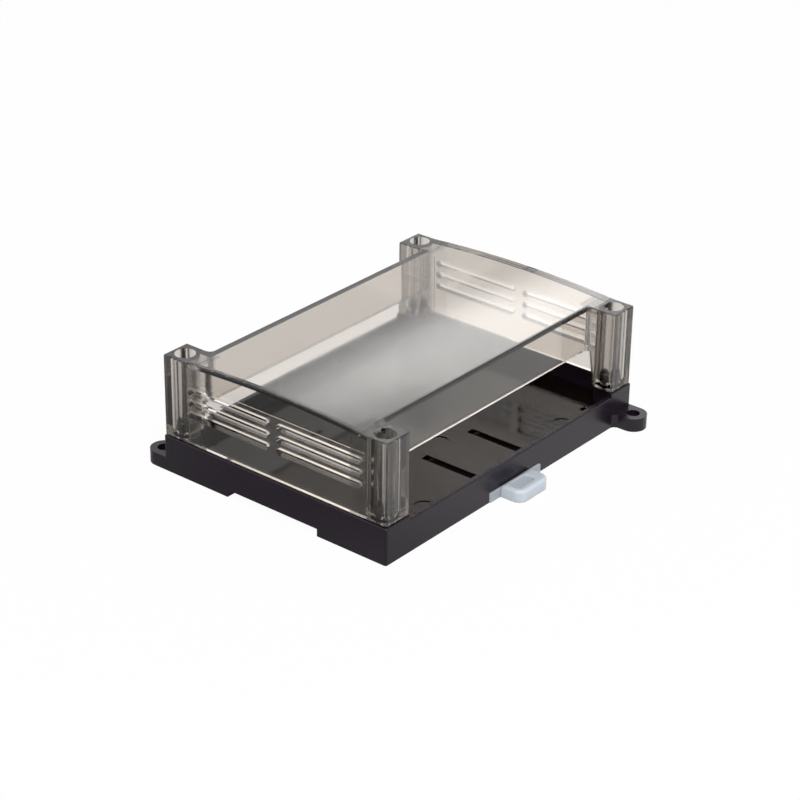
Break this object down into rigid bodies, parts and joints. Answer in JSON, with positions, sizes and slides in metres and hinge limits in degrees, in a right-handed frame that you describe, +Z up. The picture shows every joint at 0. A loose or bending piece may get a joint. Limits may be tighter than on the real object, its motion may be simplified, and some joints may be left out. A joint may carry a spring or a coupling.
{
  "type": "din rail enclosure",
  "caption": "Low black tray with a smoked clear cover, vented ends, open terminal recesses, corner screw wells, diagonal fixing ears and a sliding rail clip.",
  "frame": {"origin": "centre of the foot plane, midway between the fixing ears", "axes": "+X along the rail, +Y away from the pull loop of the rail clip, +Z up from the foot plane to the cover"},
  "size_m": [0.125, 0.108, 0.0418],
  "materials": {
    "black_plastic": "satin moulded",
    "smoked_clear": "polished, smoked transparent",
    "white_nylon": "slightly translucent",
    "screw_steel": "blackened"
  },
  "bodies": {
    "case": {"base_tray": "black_plastic", "clear_cover": "smoked_clear", "cover_screw_1": "screw_steel", "cover_screw_2": "screw_steel", "cover_screw_3": "screw_steel", "cover_screw_4": "screw_steel"},
    "rail_clip": {"din_clip": "white_nylon"}
  },
  "joints": [
    {"name": "clip_slide", "type": "slide", "parent": "case", "child": "rail_clip", "axis": [0, -1, 0], "range_m": [0, 0.005]}
  ]
}
